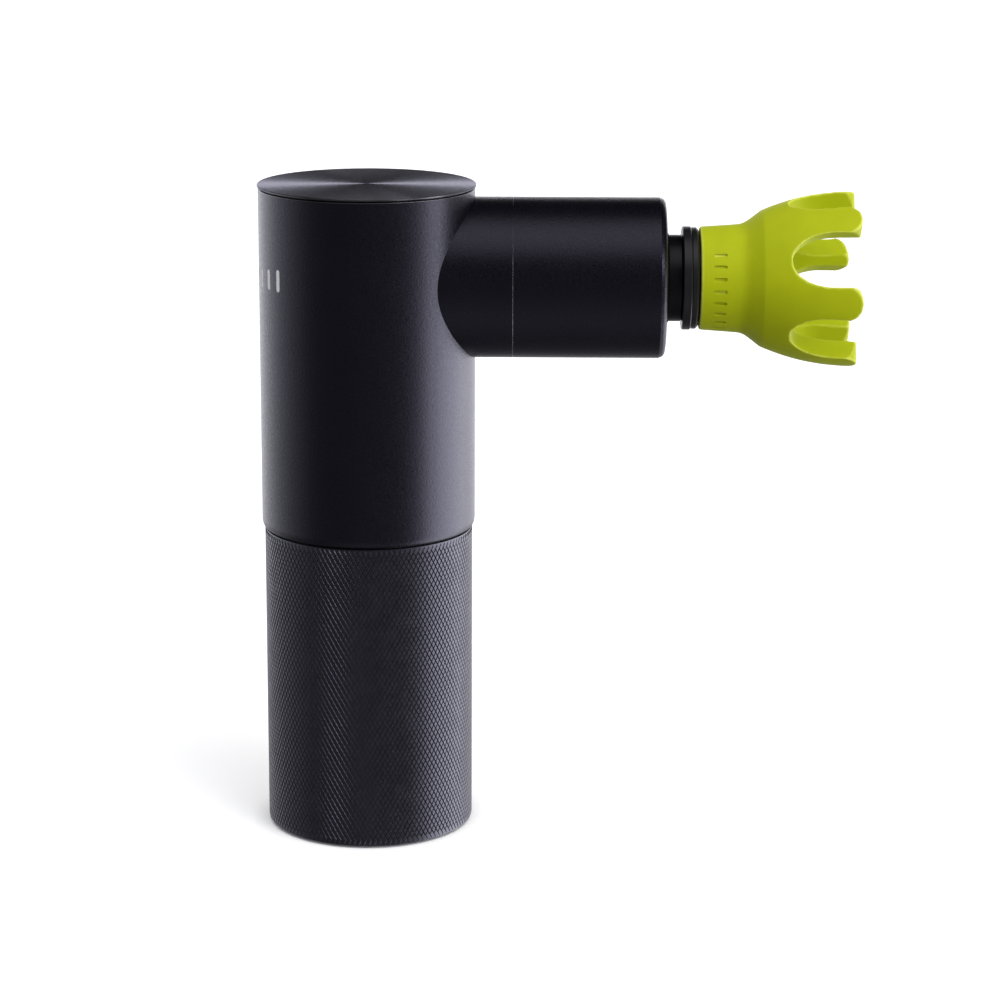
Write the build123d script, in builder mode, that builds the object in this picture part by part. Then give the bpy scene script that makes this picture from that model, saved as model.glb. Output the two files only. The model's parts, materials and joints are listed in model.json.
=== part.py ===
"""Percussion massage gun: upright cylindrical body, short barrel, crank drive and a six-fingered head.

Millimetres. +Z is up, the origin is the centre of the face the gun stands on, and +X points along the
barrel towards the massage head. The drive is drawn with the piston fully in.
"""

from build123d import *
from math import cos, radians, sin, tan
import os

# ---- driving dimensions ----------------------------------------------------------------------------
BODY_R = 24.0  # outside of the upper shell
CAP_R = 24.2  # top disc
GRIP_R = 23.4  # knurled grip, slimmer than the shell
TOP_Z = 146.9  # top of the disc, the overall height
DISC_T = 0.4  # edge of the top disc
DISC_GAP = 0.35  # shadow gap under the disc
SHELL_TOP = TOP_Z - DISC_T - DISC_GAP
SHELL_BOTTOM = 69.75
GRIP_TOP = 69.35
GRIP_BOTTOM = 0.7
BARREL_Z = 126.16  # height of the barrel axis
BARREL_R = 17.8
BARREL_WALL = 1.6
SEAM_X = 32.4  # joint line across the barrel
SEAM_GAP = 0.02
SEAM_CHAMFER = 0.09
BARREL_END = 66.07
BARREL_EDGE_R = 1.35
BARREL_BEVEL = 1.4  # length of the shallow bevel that leads into the rounded edge
BARREL_BEVEL_ANGLE = 21
FRONT_WALL = 2.57
STROKE = 6.0
PISTON_R = 9.6
PISTON_BACK = 20.5
PISTON_FRONT = 69.7
HEAD_TIP = 108.3
RUNNING = 0.05  # radial clearance of a running fit
SLIP = 0.1  # radial clearance of a part that is slid in and stays
WIRE_HOLE = 0.1  # radial room round a lead

# ---- shells ------------------------------------------------------------------------------------------
LIP_DEPTH = 0.9  # rounded lower edge of the shell
LIP_HEIGHT = 1.7
SHELL_BORE_R = 22.2  # lower bore of the shell, round the grip's spigot
SHELL_SEAT_R = 21.4  # narrower bore above the motor chassis
SHELL_SEAT_Z = 104.2
GRIP_BORE_R = 21.0
GRIP_SPIGOT_R = 22.1
GRIP_SPIGOT_TOP = 77.5
BASE_Z = 0.9  # lower face of the base cap, where the foot pad is glued on
PLATE_TOP = 2.6
BASE_PLUG_R = 20.9
BASE_PLUG_BORE_R = 19.0
HOLDER_Z = 12.2  # underside of the lower battery holder

# ---- underside ---------------------------------------------------------------------------------------
FOOT_PAD_R = 20.5  # where the pad is glued to the base cap
FOOT_RIM_R = 21.4  # rim that covers the joint between base cap and grip
FOOT_RIM_T = 0.6
FOOT_CHAMFER = 0.1
BUTTON_X = 9.8
BUTTON_R = 5.0
BUTTON_Z = 0.9
BUTTON_DISH = 0.3  # hollow of the button's face
BUTTON_CLEARANCE = 0.3
BUTTON_FLANGE = 1.0
WINDOW_R = 7.0  # light ring
WINDOW_FLANGE = 0.8
USB_X = -13.2
USB_Z = 1.0
USB_SHELL = (3.26, 8.94)
USB_CORNER_R = 1.6
USB_WALL = 0.3
USB_DEPTH = 6.5
USB_TONGUE = (0.7, 6.7)
PLUG_ROOM = 0.8  # how far the foot pad stands back from the socket
BOARD_Z = 9.0
BOARD_T = 1.6
BOARD_R = 18.8
POST_RING_R = 15.3
POST_ANGLES = (75, 145, 215, 285)
POST_R = 2.2
SWITCH_SIDE = 6.0
SWITCH_HEIGHT = 2.6
PLUNGER_HEIGHT = 0.8
LED_RING_R = 6.4
LED_HEIGHT = 0.8
SCREW_R = 0.8  # self-tapping screws of the board and the guide
BOARD_SCREW_Z = 4.5
BOARD_SCREW_HEAD = (1.9, 1.1)
GUIDE_SCREW_HEAD = (1.25, 1.2)
GUIDE_SCREW_RING_R = 14.2
GUIDE_SCREW_LENGTH = 5.1
GUIDE_SCREW_HOLE = 1.7

# ---- battery -----------------------------------------------------------------------------------------
CELL_R = 9.2
CELL_LENGTH = 65.0
CELL_Z = 13.2
CELL_RING_R = 10.9
CELL_ANGLES = (0, 120, 240)
TAB_T = 0.2
LEAD_R = 0.8
LEAD_RING_R = (13.2, 15.2, 17.2)
MOTOR_LEAD_ANGLE = 60
BATTERY_LEAD_ANGLE = 300

# ---- motor and crank ---------------------------------------------------------------------------------
CHASSIS_Z = 81.0
MOTOR_Z = 84.0
TUBE_TOP = 103.5
SHAFT_R = 2.5
BEARING_R = 5.45
BEARING_T = 4.0
STATOR_Z = (89.0, 101.0)
STATOR_R = 14.3
TEETH = 9
BELL_R = 18.0
BELL_Z = 88.0
MAGNETS = 12
WHEEL_Z = (112.0, 119.0)
CRANK_R = STROKE / 2
CRANK_X = -CRANK_R  # piston fully in
PIN_R = 3.0
PIN_SPLIT_Z = 122.0  # the opened pivot: lower half on the wheel, upper half on the rod
PIN_SPLIT_GAP = 0.3
WRIST_X = 26.0
WRIST_R = 2.5
ROD_T = 7.0

# ---- barrel internals --------------------------------------------------------------------------------
SLEEVE_BORE_R = 15.6
GUIDE_X = (34.0, 63.4)
GUIDE_FRONT_X = 60.0  # back of the guide's front flange
SEAL_X = 61.0
BUSH_LENGTH = 9.0
GUIDE_R = 12.6
BUSH_R = 11.0
SEAL_R = 11.15
SOCKET_R = 6.0
SOCKET_BACK = 46.0
STEM_R = 5.9
COLLAR_R = 11.45
CORE_R = 9.0
CORE_FRONT = 84.0
FINGER_SLOTS = 6
SLOT_WIDTH = 12.1
SLOT_ROOT_X = 93.0
SLOT_ROOT_LENGTH = 9.5
FINGER_CORNER_R = 3.8
CROWN_TURN = 23  # how far the crown is turned on its round stem

BARREL_AXIS = Axis((0, 0, BARREL_Z), (1, 0, 0))
BARREL_SIDE = Plane(origin=(0, 0, BARREL_Z), x_dir=(1, 0, 0), z_dir=(0, -1, 0))
BUTTON_AXIS = Axis((BUTTON_X, 0, 0), (0, 0, 1))
BUTTON_SIDE = Plane(origin=(BUTTON_X, 0, 0), x_dir=(1, 0, 0), z_dir=(0, -1, 0))

os.makedirs("parts", exist_ok=True)


def save(piece, label):
    """Label a finished piece and write its own STEP file."""
    piece.part.label = label
    export_step(piece.part, f"parts/{label}.step")


def turned(points, plane=Plane.XZ, axis=Axis.Z):
    """A turned piece from the closed profile in `points`, which are (radius, height) on the body axis."""
    with BuildPart() as piece:
        with BuildSketch(plane):
            with BuildLine():
                Polyline(*points, close=True)
            make_face()
        revolve(axis=axis)
    return piece


def turned_on_barrel(points):
    """A turned piece on the barrel axis, from a closed profile of (x, radius) points."""
    return turned(points, BARREL_SIDE, BARREL_AXIS)


def ring(inner_r, outer_r, low, high):
    """A plain ring on the body axis."""
    return turned([(inner_r, low), (outer_r, low), (outer_r, high), (inner_r, high)])


def barrel_ring(inner_r, outer_r, back, front):
    """A plain ring on the barrel axis."""
    return turned_on_barrel([(back, inner_r), (front, inner_r), (front, outer_r), (back, outer_r)])


def polar(radius, angle):
    """The point at a radius and an angle in degrees from +X."""
    return (radius * cos(radians(angle)), radius * sin(radians(angle)))


# ======================================== casing ======================================================

with BuildPart() as upper_shell:
    with BuildSketch(Plane.XZ):
        with BuildLine():
            Polyline(
                (BODY_R, SHELL_BOTTOM + LIP_HEIGHT),
                (BODY_R, SHELL_TOP - 0.2),
                (BODY_R - 0.2, SHELL_TOP),
                (0, SHELL_TOP),
                (0, SHELL_BOTTOM),
                (BODY_R - LIP_DEPTH, SHELL_BOTTOM),
            )
            EllipticalCenterArc(
                (BODY_R - LIP_DEPTH, SHELL_BOTTOM + LIP_HEIGHT),
                LIP_DEPTH,
                LIP_HEIGHT,
                start_angle=-90,
                arc_size=90,
            )
        make_face()
    revolve(axis=Axis.Z)
    with BuildSketch(Plane.YZ):
        with Locations((0, BARREL_Z)):
            Circle(BARREL_R)
    extrude(amount=SEAM_X - SEAM_GAP / 2)
    seam_edge = upper_shell.edges().filter_by(GeomType.CIRCLE).sort_by(Axis.X)[-1]
    chamfer(seam_edge, SEAM_CHAMFER)
    with BuildSketch(Plane.XY.offset(SHELL_BOTTOM)):
        Circle(SHELL_BORE_R)
    extrude(amount=SHELL_SEAT_Z - SHELL_BOTTOM, mode=Mode.SUBTRACT)
    with BuildSketch(Plane.XY.offset(SHELL_SEAT_Z)):
        Circle(SHELL_SEAT_R)
    extrude(amount=SHELL_TOP - SHELL_SEAT_Z, mode=Mode.SUBTRACT)
    with BuildSketch(Plane.YZ):
        with Locations((0, BARREL_Z)):
            Circle(BARREL_R - BARREL_WALL)
    extrude(amount=SEAM_X, mode=Mode.SUBTRACT)
save(upper_shell, "upper_shell")

with BuildPart() as barrel_sleeve:
    with BuildSketch(BARREL_SIDE):
        with BuildLine():
            back = SEAM_X + SEAM_GAP / 2
            spigot_back = back - 4
            spigot_r = BARREL_R - BARREL_WALL - RUNNING
            bevel_drop = BARREL_BEVEL * tan(radians(BARREL_BEVEL_ANGLE))
            Polyline(
                (BARREL_END, SEAL_R + RUNNING),
                (BARREL_END - FRONT_WALL, SEAL_R + RUNNING),
                (BARREL_END - FRONT_WALL, SLEEVE_BORE_R),
                (spigot_back, SLEEVE_BORE_R),
                (spigot_back, spigot_r),
                (back, spigot_r),
                (back, BARREL_R - SEAM_CHAMFER),
                (back + SEAM_CHAMFER, BARREL_R),
                (BARREL_END - BARREL_BEVEL, BARREL_R),
                (BARREL_END, BARREL_R - bevel_drop),
                close=True,
            )
        make_face()
    revolve(axis=BARREL_AXIS)
    front_edges = barrel_sleeve.edges().filter_by(GeomType.CIRCLE).group_by(Axis.X)[-1]
    end_edge = front_edges.sort_by(SortBy.RADIUS)[-1]
    fillet(end_edge, BARREL_EDGE_R)
    with BuildSketch(Plane.YZ.offset(BARREL_END - FRONT_WALL)):
        with Locations((0, BARREL_Z)):
            with PolarLocations(GUIDE_SCREW_RING_R, 3, start_angle=90):
                Circle(SCREW_R)
    extrude(amount=GUIDE_SCREW_HOLE, mode=Mode.SUBTRACT)
save(barrel_sleeve, "barrel_sleeve")

CAP_SPIGOT_R = SHELL_SEAT_R - RUNNING
CAP_SPIGOT_WALL = 2.0
CAP_SPIGOT_Z = SHELL_TOP - 5
top_cap = turned(
    [
        (0, TOP_Z),
        (CAP_R - 0.1, TOP_Z),
        (CAP_R, TOP_Z - 0.1),
        (CAP_R, TOP_Z - DISC_T),
        (CAP_SPIGOT_R + 1.4, TOP_Z - DISC_T),
        (CAP_SPIGOT_R + 1.4, SHELL_TOP),
        (CAP_SPIGOT_R, SHELL_TOP),
        (CAP_SPIGOT_R, CAP_SPIGOT_Z),
        (CAP_SPIGOT_R - CAP_SPIGOT_WALL, CAP_SPIGOT_Z),
        (CAP_SPIGOT_R - CAP_SPIGOT_WALL, SHELL_TOP - 1.2),
        (0, SHELL_TOP - 1.2),
    ]
)
save(top_cap, "top_cap")

handle_grip = turned(
    [
        (GRIP_BORE_R, GRIP_BOTTOM),
        (GRIP_R, GRIP_BOTTOM),
        (GRIP_R, GRIP_TOP),
        (GRIP_SPIGOT_R, GRIP_TOP),
        (GRIP_SPIGOT_R, GRIP_SPIGOT_TOP),
        (GRIP_BORE_R, GRIP_SPIGOT_TOP),
    ]
)
save(handle_grip, "handle_grip")

# ======================================== base ========================================================

POSTS = [polar(POST_RING_R, angle) for angle in POST_ANGLES]

with BuildPart() as base_cap:
    with BuildSketch(Plane.XY.offset(BASE_Z)):
        Circle(BASE_PLUG_R)
        with Locations((BUTTON_X, 0)):
            Circle(WINDOW_R, mode=Mode.SUBTRACT)
        with Locations((USB_X, 0)):
            opening = [side + 2 * SLIP for side in USB_SHELL]
            RectangleRounded(*opening, USB_CORNER_R + SLIP, mode=Mode.SUBTRACT)
    extrude(amount=PLATE_TOP - BASE_Z)
    with BuildSketch(Plane.XY.offset(PLATE_TOP)):
        Circle(BASE_PLUG_R)
        Circle(BASE_PLUG_BORE_R, mode=Mode.SUBTRACT)
    extrude(amount=HOLDER_Z - PLATE_TOP)
    with BuildSketch(Plane.XY.offset(PLATE_TOP)):
        with Locations(*POSTS):
            Circle(POST_R)
            Circle(SCREW_R, mode=Mode.SUBTRACT)
    extrude(amount=BOARD_Z - PLATE_TOP)
save(base_cap, "base_cap")

with BuildPart() as foot_pad:
    with BuildSketch():
        Circle(FOOT_PAD_R)
    extrude(amount=BASE_Z)
    with BuildSketch():
        Circle(FOOT_RIM_R)
    extrude(amount=FOOT_RIM_T)
    with BuildSketch():
        with Locations((BUTTON_X, 0)):
            Circle(WINDOW_R)
        with Locations((USB_X, 0)):
            opening = [side + 2 * PLUG_ROOM for side in USB_SHELL]
            RectangleRounded(*opening, USB_CORNER_R + PLUG_ROOM)
    extrude(amount=BASE_Z, mode=Mode.SUBTRACT)
    chamfer(foot_pad.faces().sort_by(Axis.Z)[0].edges(), FOOT_CHAMFER)
save(foot_pad, "foot_pad")

WINDOW_BORE_R = BUTTON_R + BUTTON_CLEARANCE
light_ring = turned(
    [
        (WINDOW_BORE_R, USB_Z),
        (WINDOW_R - RUNNING, USB_Z),
        (WINDOW_R - RUNNING, PLATE_TOP),
        (WINDOW_R + WINDOW_FLANGE, PLATE_TOP),
        (WINDOW_R + WINDOW_FLANGE, PLATE_TOP + WINDOW_FLANGE),
        (WINDOW_BORE_R, PLATE_TOP + WINDOW_FLANGE),
    ],
    BUTTON_SIDE,
    BUTTON_AXIS,
)
save(light_ring, "light_ring")

FLANGE_Z = PLATE_TOP + WINDOW_FLANGE + RUNNING
STUB_R = 1.8
STUB_TOP = 4.9
with BuildPart() as power_button:
    with BuildSketch(BUTTON_SIDE):
        with BuildLine():
            TangentArc((0, BUTTON_Z + BUTTON_DISH), (BUTTON_R - 0.4, BUTTON_Z), tangent=(1, 0))
            Polyline(
                (BUTTON_R - 0.4, BUTTON_Z),
                (BUTTON_R, BUTTON_Z + 0.4),
                (BUTTON_R, FLANGE_Z),
                (BUTTON_R + BUTTON_FLANGE, FLANGE_Z),
                (BUTTON_R + BUTTON_FLANGE, FLANGE_Z + 0.85),
                (STUB_R, FLANGE_Z + 0.85),
                (STUB_R, STUB_TOP),
                (0, STUB_TOP),
                (0, BUTTON_Z + BUTTON_DISH),
            )
        make_face()
    revolve(axis=BUTTON_AXIS)
save(power_button, "power_button")

with BuildPart() as button_switch:
    with BuildSketch(Plane.XY.offset(BOARD_Z)):
        with Locations((BUTTON_X, 0)):
            Rectangle(SWITCH_SIDE, SWITCH_SIDE)
    extrude(amount=-SWITCH_HEIGHT)
    with BuildSketch(Plane.XY.offset(BOARD_Z - SWITCH_HEIGHT)):
        with Locations((BUTTON_X, 0)):
            Circle(STUB_R)
    extrude(amount=-PLUNGER_HEIGHT)
save(button_switch, "button_switch")

with BuildPart() as usb_c_socket:
    with BuildSketch(Plane.XY.offset(USB_Z)):
        with Locations((USB_X, 0)):
            RectangleRounded(*USB_SHELL, USB_CORNER_R)
    extrude(amount=BOARD_Z - USB_Z)
    with BuildSketch(Plane.XY.offset(USB_Z)):
        with Locations((USB_X, 0)):
            bore = [side - 2 * USB_WALL for side in USB_SHELL]
            RectangleRounded(*bore, USB_CORNER_R - USB_WALL)
            Rectangle(*USB_TONGUE, mode=Mode.SUBTRACT)
    extrude(amount=USB_DEPTH, mode=Mode.SUBTRACT)
    with BuildSketch(Plane.XY.offset(USB_Z)):
        with Locations((USB_X, 0)):
            Rectangle(*USB_TONGUE)
    extrude(amount=0.7, mode=Mode.SUBTRACT)
save(usb_c_socket, "usb_c_socket")

with BuildPart() as control_board:
    with BuildSketch(Plane.XY.offset(BOARD_Z)):
        Circle(BOARD_R)
        with Locations(*POSTS):
            Circle(SCREW_R + 0.3, mode=Mode.SUBTRACT)
    extrude(amount=BOARD_T)
save(control_board, "control_board")

BOARD_TOP = BOARD_Z + BOARD_T
CHIP_T = 1.0
with BuildPart() as controller_chips:
    with BuildSketch(Plane.XY.offset(BOARD_TOP)):
        Rectangle(7, 7)
        with Locations((-8.5, -4.5), (-8.5, 4.5)):
            Rectangle(5, 4)
        with Locations((9.5, -1)):
            Rectangle(3, 8)
        with Locations((1, 9), (4.5, 9), (-2.5, 9)):
            Rectangle(1.6, 3)
    extrude(amount=CHIP_T)
save(controller_chips, "controller_chips")

with BuildPart() as status_leds:
    with BuildSketch(Plane.XY.offset(BOARD_Z)):
        with Locations((BUTTON_X, 0)):
            with PolarLocations(LED_RING_R, 6, start_angle=30):
                Rectangle(0.9, 1.7)
    extrude(amount=-LED_HEIGHT)
save(status_leds, "status_leds")

HEAD_R, HEAD_T = BOARD_SCREW_HEAD
with BuildPart() as board_screws:
    with BuildSketch(Plane.XY.offset(BOARD_SCREW_Z)):
        with Locations(*POSTS):
            Circle(SCREW_R)
    extrude(amount=BOARD_TOP - BOARD_SCREW_Z)
    with BuildSketch(Plane.XY.offset(BOARD_TOP)):
        with Locations(*POSTS):
            Circle(HEAD_R)
    extrude(amount=HEAD_T)
    with BuildSketch(Plane.XY.offset(BOARD_TOP + HEAD_T)):
        with Locations(*POSTS):
            Rectangle(2.4, 0.5)
            Rectangle(0.5, 2.4)
    extrude(amount=-0.6, mode=Mode.SUBTRACT)
save(board_screws, "board_screws")

# ======================================== battery =====================================================

LEAD_POINTS = [polar(r, MOTOR_LEAD_ANGLE) for r in LEAD_RING_R]
BATTERY_LEAD_POINTS = [polar(r, BATTERY_LEAD_ANGLE) for r in LEAD_RING_R[:2]]


def battery_holder(low, high, pocket_from, pocket_to):
    """A moulded holder: a round plate with a pocket for each cell and holes for the leads."""
    with BuildPart() as holder:
        with BuildSketch(Plane.XY.offset(low)):
            Circle(GRIP_BORE_R - 0.3)
            with Locations(*LEAD_POINTS, *BATTERY_LEAD_POINTS):
                Circle(LEAD_R + WIRE_HOLE, mode=Mode.SUBTRACT)
        extrude(amount=high - low)
        with BuildSketch(Plane.XY.offset(pocket_from)):
            with Locations(*[polar(CELL_RING_R, a) for a in CELL_ANGLES]):
                Circle(CELL_R + SLIP)
        extrude(amount=pocket_to - pocket_from, mode=Mode.SUBTRACT)
    return holder


CELL_TOP = CELL_Z + CELL_LENGTH
HOLDER_BOTTOM_Z = (HOLDER_Z, HOLDER_Z + 6)
HOLDER_TOP_Z = (73.0, 80.0)
battery_holder_bottom = battery_holder(*HOLDER_BOTTOM_Z, CELL_Z - TAB_T, HOLDER_BOTTOM_Z[1])
save(battery_holder_bottom, "battery_holder_bottom")
battery_holder_top = battery_holder(*HOLDER_TOP_Z, HOLDER_TOP_Z[0], CELL_TOP + TAB_T)
save(battery_holder_top, "battery_holder_top")

for number, angle in enumerate(CELL_ANGLES, 1):
    centre = polar(CELL_RING_R, angle)
    with BuildPart() as cell:
        with BuildSketch(Plane.XY.offset(CELL_Z)):
            with Locations(centre):
                Circle(CELL_R)
        extrude(amount=CELL_LENGTH - 1)
        with BuildSketch(Plane.XY.offset(CELL_TOP - 1)):
            with Locations(centre):
                Circle(CELL_R)
                Circle(CELL_R - 1.6, mode=Mode.SUBTRACT)
                Circle(2.9)
        extrude(amount=0.6)
        with BuildSketch(Plane.XY.offset(CELL_TOP - 0.4)):
            with Locations(centre):
                Circle(2.9)
        extrude(amount=0.4)
        with BuildSketch(Plane.XY.offset(CELL_TOP - 4)):
            with Locations(centre):
                Circle(CELL_R)
                Circle(CELL_R - 0.35, mode=Mode.SUBTRACT)
        extrude(amount=0.8, mode=Mode.SUBTRACT)
    save(cell, f"battery_cell_{number}")

with BuildPart() as cell_tabs:
    with BuildSketch(Plane.XY.offset(CELL_Z - TAB_T), Plane.XY.offset(CELL_TOP)):
        with Locations(*[polar(CELL_RING_R, a) for a in CELL_ANGLES]):
            Circle(4.5)
    extrude(amount=TAB_T)
save(cell_tabs, "cell_tabs")

with BuildPart() as motor_leads:
    with BuildSketch(Plane.XY.offset(BOARD_TOP)):
        with Locations(*LEAD_POINTS):
            Circle(LEAD_R)
    extrude(amount=MOTOR_Z + 3 - BOARD_TOP)
save(motor_leads, "motor_leads")

with BuildPart() as battery_leads:
    for (x, y), top in zip(BATTERY_LEAD_POINTS, (HOLDER_TOP_Z[0], HOLDER_BOTTOM_Z[1] + 1.8)):
        with BuildSketch(Plane.XY.offset(BOARD_TOP)):
            with Locations((x, y)):
                Circle(LEAD_R)
        extrude(amount=top - BOARD_TOP)
save(battery_leads, "battery_leads")

# ======================================== motor =======================================================

MOTOR_SCREW_RING_R = 9.5

with BuildPart() as motor_chassis:
    with BuildSketch(Plane.XZ):
        with BuildLine():
            Polyline(
                (5, CHASSIS_Z),
                (GRIP_BORE_R - 0.1, CHASSIS_Z),
                (GRIP_BORE_R - 0.1, GRIP_SPIGOT_TOP + 0.1),
                (SHELL_BORE_R - 0.1, GRIP_SPIGOT_TOP + 0.1),
                (SHELL_BORE_R - 0.1, SHELL_SEAT_Z - 0.2),
                (SHELL_SEAT_R - 0.9, SHELL_SEAT_Z - 0.2),
                (SHELL_SEAT_R - 0.9, MOTOR_Z),
                (5, MOTOR_Z),
                close=True,
            )
        make_face()
    revolve(axis=Axis.Z)
    with BuildSketch(Plane.XY.offset(CHASSIS_Z)):
        with PolarLocations(MOTOR_SCREW_RING_R, 4, start_angle=15):
            Circle(1.1)
        with Locations(*LEAD_POINTS):
            Circle(LEAD_R + WIRE_HOLE)
    extrude(amount=MOTOR_Z - CHASSIS_Z, mode=Mode.SUBTRACT)
    with BuildSketch(Plane.XY.offset(CHASSIS_Z)):
        with PolarLocations(MOTOR_SCREW_RING_R, 4, start_angle=15):
            Circle(2.1)
    extrude(amount=1.5, mode=Mode.SUBTRACT)
    for angle in (45, 135, 225, 315):
        with BuildSketch(Plane.YZ.rotated((0, 0, angle)).offset(15)):
            with Locations((0, 95)):
                RectangleRounded(14, 12, 2)
        extrude(amount=10, mode=Mode.SUBTRACT)
save(motor_chassis, "motor_chassis")

with BuildPart() as motor_base:
    with BuildSketch(Plane.XZ):
        with BuildLine():
            Polyline(
                (3.2, MOTOR_Z),
                (12.0, MOTOR_Z),
                (12.0, MOTOR_Z + 1.8),
                (11.4, MOTOR_Z + 2.4),
                (STATOR_R - 7.65, MOTOR_Z + 2.4),
                (STATOR_R - 7.65, TUBE_TOP),
                (BEARING_R + RUNNING, TUBE_TOP),
                (BEARING_R + RUNNING, TUBE_TOP - BEARING_T),
                (4.6, TUBE_TOP - BEARING_T),
                (4.6, MOTOR_Z + 2.0 + BEARING_T),
                (BEARING_R + RUNNING, MOTOR_Z + 2.0 + BEARING_T),
                (BEARING_R + RUNNING, MOTOR_Z + 2.0),
                (3.2, MOTOR_Z + 2.0),
                close=True,
            )
        make_face()
    revolve(axis=Axis.Z)
    with BuildSketch(Plane.XY.offset(MOTOR_Z)):
        with PolarLocations(MOTOR_SCREW_RING_R, 4, start_angle=15):
            Circle(1.0)
    extrude(amount=2.4, mode=Mode.SUBTRACT)
save(motor_base, "motor_base")

with BuildPart() as motor_screws:
    with BuildSketch(Plane.XY.offset(CHASSIS_Z + 1.5)):
        with PolarLocations(MOTOR_SCREW_RING_R, 4, start_angle=15):
            Circle(1.0)
    extrude(amount=3.6)
    with BuildSketch(Plane.XY.offset(CHASSIS_Z + 0.2)):
        with PolarLocations(MOTOR_SCREW_RING_R, 4, start_angle=15):
            Circle(2.0)
            RegularPolygon(0.8, 6, mode=Mode.SUBTRACT)
    extrude(amount=1.3)
save(motor_screws, "motor_screws")


def ball_bearing(low):
    """A shielded ball bearing for the motor shaft, drawn as one ring with recessed shields."""
    high = low + BEARING_T
    inner = SHAFT_R + RUNNING
    return turned(
        [
            (inner, low),
            (inner + 0.7, low),
            (inner + 0.7, low + 0.25),
            (BEARING_R - 0.7, low + 0.25),
            (BEARING_R - 0.7, low),
            (BEARING_R, low),
            (BEARING_R, high),
            (BEARING_R - 0.7, high),
            (BEARING_R - 0.7, high - 0.25),
            (inner + 0.7, high - 0.25),
            (inner + 0.7, high),
            (inner, high),
        ]
    )


lower_bearing = ball_bearing(MOTOR_Z + 2.0)
save(lower_bearing, "lower_bearing")
upper_bearing = ball_bearing(TUBE_TOP - BEARING_T)
save(upper_bearing, "upper_bearing")

TOOTH_WIDTH = 2.6
with BuildPart() as stator_core:
    with BuildSketch(Plane.XY.offset(STATOR_Z[0])):
        Circle(STATOR_R)
        Circle(STATOR_R - 1.1, mode=Mode.SUBTRACT)
        with PolarLocations(STATOR_R - 0.5, TEETH, start_angle=180 / TEETH):
            Rectangle(2.6, 1.6, mode=Mode.SUBTRACT)
        Circle(8.5)
        with PolarLocations(11, TEETH):
            Rectangle(5.4, TOOTH_WIDTH)
        Circle(STATOR_R - 7.6, mode=Mode.SUBTRACT)
    extrude(amount=STATOR_Z[1] - STATOR_Z[0])
save(stator_core, "stator_core")

with BuildPart() as stator_windings:
    with BuildSketch(Plane.XY.offset(STATOR_Z[0] - 1.5)):
        with PolarLocations(11, TEETH):
            RectangleRounded(3.9, 5.6, 0.9)
    extrude(amount=STATOR_Z[1] - STATOR_Z[0] + 3)
    with BuildSketch(Plane.XY.offset(STATOR_Z[0] - 0.05)):
        with PolarLocations(11, TEETH):
            Rectangle(5, TOOTH_WIDTH + 0.1)
    extrude(amount=STATOR_Z[1] - STATOR_Z[0] + 0.1, mode=Mode.SUBTRACT)
save(stator_windings, "stator_windings")

# ======================================== rotor =======================================================

BELL_TOP = 106.0
with BuildPart() as motor_bell:
    with BuildSketch(Plane.XZ):
        with BuildLine():
            Polyline(
                (BELL_R - 1.4, BELL_Z),
                (BELL_R, BELL_Z),
                (BELL_R, BELL_TOP - 1.2),
                (BELL_R - 1.2, BELL_TOP),
                (4.5, BELL_TOP),
                (4.5, BELL_TOP + 3),
                (SHAFT_R, BELL_TOP + 3),
                (SHAFT_R, BELL_TOP - 1.8),
                (BELL_R - 1.4, BELL_TOP - 1.8),
                close=True,
            )
        make_face()
    revolve(axis=Axis.Z)
    with BuildSketch(Plane.XY.offset(BELL_TOP - 1.8)):
        with PolarLocations(10.5, 6):
            SlotCenterToCenter(4.5, 3.6, rotation=90)
    extrude(amount=1.8, mode=Mode.SUBTRACT)
save(motor_bell, "motor_bell")

with BuildPart() as rotor_magnets:
    with BuildSketch(Plane.XY.offset(STATOR_Z[0])):
        Circle(BELL_R - 1.5)
        Circle(STATOR_R + 0.6, mode=Mode.SUBTRACT)
        with PolarLocations(BELL_R - 2.2, MAGNETS):
            Rectangle(3, 0.8, mode=Mode.SUBTRACT)
    extrude(amount=STATOR_Z[1] - STATOR_Z[0])
save(rotor_magnets, "rotor_magnets")

motor_shaft = turned(
    [
        (0, MOTOR_Z + 1.0),
        (SHAFT_R - 0.3, MOTOR_Z + 1.0),
        (SHAFT_R, MOTOR_Z + 1.3),
        (SHAFT_R, WHEEL_Z[1] - 0.5),
        (0, WHEEL_Z[1] - 0.5),
    ]
)
save(motor_shaft, "motor_shaft")

with BuildPart() as eccentric_wheel:
    with BuildSketch(Plane.XY.offset(BELL_TOP + 4)):
        Circle(5)
    extrude(amount=WHEEL_Z[0] - BELL_TOP - 4)
    with BuildSketch(Plane.XY.offset(WHEEL_Z[0])):
        Circle(9)
        with BuildLine():
            arc = CenterArc((0, 0), 15.5, -60, 120)
            Line(arc @ 1, (0, 0))
            Line((0, 0), arc @ 0)
        make_face()
    extrude(amount=WHEEL_Z[1] - WHEEL_Z[0])
    with BuildSketch(Plane.XY.offset(BELL_TOP + 4)):
        Circle(SHAFT_R)
    extrude(amount=WHEEL_Z[1] - 0.5 - BELL_TOP - 4, mode=Mode.SUBTRACT)
    with BuildSketch(Plane.XY.offset(WHEEL_Z[1])):
        with Locations((CRANK_X, 0)):
            Circle(4.4)
    extrude(amount=1.4)
    with BuildSketch(Plane.XY.offset(WHEEL_Z[1] + 1.4)):
        with Locations((CRANK_X, 0)):
            Circle(PIN_R)
    extrude(amount=PIN_SPLIT_Z - PIN_SPLIT_GAP / 2 - WHEEL_Z[1] - 1.4)
save(eccentric_wheel, "eccentric_wheel")

# ======================================== rod and piston ==============================================

ROD_LOW = BARREL_Z - ROD_T / 2
ROD_HIGH = BARREL_Z + ROD_T / 2

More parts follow.
